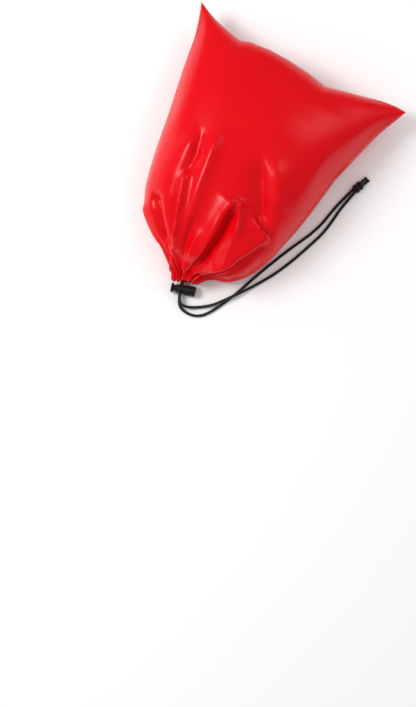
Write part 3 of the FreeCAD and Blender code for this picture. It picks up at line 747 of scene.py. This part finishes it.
def stitched(name, line, node_name):
    """A row of stitches along a line of points."""
    curve = bpy.data.curves.new(name + "_line", "CURVE")
    curve.dimensions = "3D"
    spline = curve.splines.new("POLY")
    spline.points.add(len(line) - 1)
    for point, spot in zip(spline.points, line):
        point.co = (*spot, 1)
    path = bpy.data.objects.new(name + "_line", curve)
    scene.collection.objects.link(path)

    def bead(u, v):
        """One stitch: a bead with blunt ends, pressed a little flat."""
        thick = THREAD / 2 * MM * np.sqrt(np.clip(1 - (2 * v - 1) ** 4, 0, 1))
        across, up = thick * np.cos(2 * np.pi * u), PRESSED_FLAT * thick * np.sin(2 * np.pi * u)
        return np.stack([STITCH_SHOWS * STITCH * MM * v, across, up], axis=1)

    row = rolled(name, 6, 5, bead, merge=2e-6)
    repeat = row.modifiers.new("Repeat", "ARRAY")
    repeat.use_relative_offset, repeat.use_constant_offset = False, True
    repeat.constant_offset_displace = (STITCH * MM, 0, 0)
    repeat.count = int(length_of(np.array(line)) / MM / STITCH) - 1
    follow = row.modifiers.new("Follow", "CURVE")
    follow.object = path
    only(row)
    bpy.ops.object.modifier_apply(modifier="Repeat")
    bpy.ops.object.modifier_apply(modifier="Follow")
    bpy.data.objects.remove(path)
    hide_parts(node_name)
    return row


SIDE_INSET = 11.0 / (2 * PANEL)  # shares of the way round
BOTTOM_INSET = 0.035  # shares of the cloth's length
HEM_ROW = 1 - (HEM_EDGE + 12) / CUT_LENGTH
up_the_side = np.linspace(0.06, 0.89, 220)
along_bottom = np.linspace(0.04, 0.46, 160)
round_mouth = np.linspace(0.0, 1.0, 400)
stitching = [
    stitched(name, nearest_on_bag(*np.broadcast_arrays(turn, along)), thread_node)
    for name, turn, along, thread_node in (
        ("right_stitches", SIDE_INSET, up_the_side, "right_seam_thread"),
        ("left_stitches", 0.5 - SIDE_INSET, up_the_side, "left_seam_thread"),
        ("bottom_stitches", along_bottom, BOTTOM_INSET, "bottom_seam_thread"),
        ("hem_stitches", round_mouth, HEM_ROW, "hem_thread"),
    )
]
print("stitches", [len(row.data.polygons) for row in stitching])

# %% [markdown]
# ## Materials
#
# Colours are written as sRGB and turned to linear in one place. One function adds a node, and every
# pattern is laid out in real millimetres, so that it stays true whatever piece it is put on.

# %% Material helpers
def linear(hex_colour):
    """An sRGB hex colour as the linear colour that shaders work in."""
    values = [int(hex_colour[k : k + 2], 16) / 255 for k in (0, 2, 4)]
    return tuple(c / 12.92 if c <= 0.04045 else ((c + 0.055) / 1.055) ** 2.4 for c in values) + (1.0,)


def node(owner, kind, settings=None, **links):
    """Add a node to a material or a world.

    links maps an input's name, or its number as i0, to a value or a socket.
    """
    made = owner.node_tree.nodes.new(kind)
    for key, value in (settings or {}).items():
        setattr(made, key, value)
    for key, value in links.items():
        key = key.replace("_", " ")
        numbered = key[0] == "i" and key[1:].isdigit()
        socket = made.inputs[int(key[1:]) if numbered else key]
        if isinstance(value, bpy.types.NodeSocket):
            owner.node_tree.links.new(value, socket)
        else:
            socket.default_value = value
    return made


def maths(material, operation, *values):
    """A maths node over these values or sockets."""
    links = {"i%d" % number: value for number, value in enumerate(values)}
    return node(material, "ShaderNodeMath", {"operation": operation}, **links)


def new_material(name, **shader):
    """A material and its surface shader, with these inputs set."""
    material = bpy.data.materials.new(name)
    material.use_nodes = True
    surface = material.node_tree.nodes["Principled BSDF"]
    for key, value in shader.items():
        surface.inputs[key.replace("_", " ")].default_value = value
    return material, surface


# %% [markdown]
# ## Nylon
#
# The cloth is a plain weave of fine nylon with a thin coating, which leaves a satin gloss. Each
# thread is a third of a millimetre wide, so the weave is bumps on the cloth's own flat map and turns
# with the folds. Dye and coating vary a little over a few centimetres, too little to see as spots.

# %% Nylon and thread
GRAIN_DEPTH = 0.0001
WEAVE_DEPTH = 0.00004
TWO_THREADS = 0.68  # millimetres from one thread to the next that lies the same way


def scaled(material, socket, size):
    """Coordinates in metres, scaled so that one unit is this many millimetres."""
    settings = {"operation": "SCALE"}
    return node(material, "ShaderNodeVectorMath", settings, i0=socket, Scale=1000 / size)


def flat_map(material, size):
    """The cloth's flat coordinates, so that a pattern turns with the folds."""
    spot = node(material, "ShaderNodeAttribute", {"attribute_name": "flat"})
    return scaled(material, spot.outputs["Vector"], size)


def object_map(material, size):
    """The object's own coordinates."""
    spot = node(material, "ShaderNodeTexCoord")
    return scaled(material, spot.outputs["Object"], size)


def mottled(material, surface, spot, colours, roughness, grain):
    """Vary colour and roughness softly over a grain, and add its relief as a bump."""
    noise = node(material, "ShaderNodeTexNoise", Vector=spot.outputs[0], Scale=1.0, Detail=3.0)
    grey = noise.outputs[0]
    dark, light = map(linear, colours)
    mix = node(material, "ShaderNodeMix", {"data_type": "RGBA"}, i0=grey, i6=dark, i7=light)
    gloss = node(
        material, "ShaderNodeMapRange", Value=grey, To_Min=roughness[0], To_Max=roughness[1]
    )
    bump = node(material, "ShaderNodeBump", Strength=grain, Distance=GRAIN_DEPTH, Height=grey)
    for output, name in (
        (mix.outputs[2], "Base Color"),
        (gloss.outputs[0], "Roughness"),
        (bump.outputs[0], "Normal"),
    ):
        material.node_tree.links.new(output, surface.inputs[name])
    return bump


# Coated nylon: a red dye, a satin coating, and a plain weave.
nylon, surface = new_material("coated_nylon", Specular_IOR_Level=0.22)
relief = mottled(nylon, surface, flat_map(nylon, 34), ("D60210", "E20413"), (0.22, 0.29), 0.0)
threads = flat_map(nylon, TWO_THREADS)
axes = node(nylon, "ShaderNodeSeparateXYZ", Vector=threads.outputs[0])
waves = []
for axis in ("X", "Y"):
    turns = maths(nylon, "MULTIPLY", axes.outputs[axis], 2 * math.pi)
    waves.append(maths(nylon, "SINE", turns.outputs[0]).outputs[0])
crossing = maths(nylon, "MULTIPLY", *waves).outputs[0]
weave = node(
    nylon, "ShaderNodeBump", Strength=0.18, Distance=WEAVE_DEPTH, Height=crossing,
    Normal=relief.outputs[0],
)
nylon.node_tree.links.new(weave.outputs[0], surface.inputs["Normal"])

# Sewing thread: the same red, a shade deeper and duller, because polyester takes dye differently.
thread, surface = new_material("sewing_thread")
mottled(thread, surface, object_map(thread, 1.5), ("CC0610", "DA0812"), (0.55, 0.7), 0.3)

# %% [markdown]
# ## Cord, plastic, steel and line
#
# The braid's lozenges are in its mesh, so its material only adds fibres. The lock is moulded in
# black acetal, with the fine matt grain of a sparked mould, and its spring is drawn steel wire. The
# line in the bag doesn't show, and its polypropylene is left undyed.

# %% The other materials
# Black polyester braid: soft, with a little fuzz at the edges.
black_cord, surface = new_material("braided_polyester", Sheen_Weight=0.15, Sheen_Roughness=0.6)
mottled(black_cord, surface, object_map(black_cord, 0.7), ("060607", "101011"), (0.55, 0.75), 0.5)

# Acetal: hard and a little waxy.
plastic, surface = new_material("moulded_acetal", Specular_IOR_Level=0.85)
mottled(plastic, surface, object_map(plastic, 0.5), ("0B0B0C", "121213"), (0.4, 0.48), 0.25)

# Spring wire: bright drawn steel.
steel, surface = new_material("spring_steel", Metallic=1.0)
mottled(steel, surface, object_map(steel, 0.4), ("A9A9A5", "C2C2BE"), (0.25, 0.4), 0.2)

# Floating line: undyed polypropylene.
floating, surface = new_material("floating_line")
mottled(floating, surface, object_map(floating, 2.0), ("D8D6CC", "E6E4DC"), (0.5, 0.7), 0.5)
made = (nylon, thread, black_cord, plastic, steel, floating)
print("materials", [material.name for material in made])

# %% [markdown]
# ## Putting it together
#
# Every piece gets its material and the body that it moves with. Only the lock moves against the
# bag, so all else rides the bag.

# %% Materials and bodies
for piece, material, slot in (
    [(bag, nylon, "coated_nylon"), (stuffing, floating, "floating_line")]
    + [(piece, black_cord, "braided_cord") for piece in [knot] + cord_pieces + tails]
    + [(piece, thread, "sewing_thread") for piece in stitching]
):
    piece.data.materials.clear()
    piece.data.materials.append(material)
    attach(piece, "bag")
spring.data.materials.append(steel)
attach(spring, "cord_lock")
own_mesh(spring)
for name in ("lock_barrel", "lock_plunger"):
    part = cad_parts[name]
    part.data.materials.clear()
    part.data.materials.append(plastic)
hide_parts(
    "front_panel", "back_panel", "front_hem", "back_hem", "left_seam_allowance",
    "right_seam_allowance", "bottom_seam_allowance",
)
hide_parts("throw_line")
dressed = [bag, stuffing, knot, spring] + cord_pieces + tails + stitching
print("dressed", [piece.name for piece in dressed])

# %% [markdown]
# ## Floor and light
#
# A coated cloth shows its folds by what it mirrors, so the light is one large soft box on the left,
# a weak one behind, and a room that fills the shadows. A bright room would lay a pale haze over the
# red, so the room is nearly dark where the gloss would mirror it.

# %% Floor and light
ROOM_LIGHT = 0.66
ROOM_MIRRORED = 0.02

only()
bpy.ops.mesh.primitive_plane_add(size=6)
floor = bpy.context.object
floor.name = "floor"
paper, _ = new_material("pale_floor", Base_Color=linear("FAFAFA"), Roughness=0.9)
floor.data.materials.append(paper)

world = bpy.data.worlds.new("studio")
scene.world = world
world.use_nodes = True
rays = node(world, "ShaderNodeLightPath").outputs["Is Glossy Ray"]
room = node(world, "ShaderNodeMapRange", Value=rays, To_Min=ROOM_LIGHT, To_Max=ROOM_MIRRORED)
background = world.node_tree.nodes["Background"]
background.inputs["Color"].default_value = (1, 1, 1, 1)
world.node_tree.links.new(room.outputs[0], background.inputs["Strength"])


def softbox(name, place, power, size):
    """A square lamp that faces the bag; power in watts, size in metres."""
    only()
    bpy.ops.object.light_add(type="AREA", location=place)
    lamp = bpy.context.object
    lamp.name = name
    lamp.data.energy = power
    lamp.data.size = size
    lamp.rotation_euler = Vector(place).to_track_quat("Z", "Y").to_euler()


softbox("left_softbox", (-0.95, -0.35, 1.15), 13.5, 0.55)
softbox("top_softbox", (0.7, 1.1, 1.2), 3, 0.7)
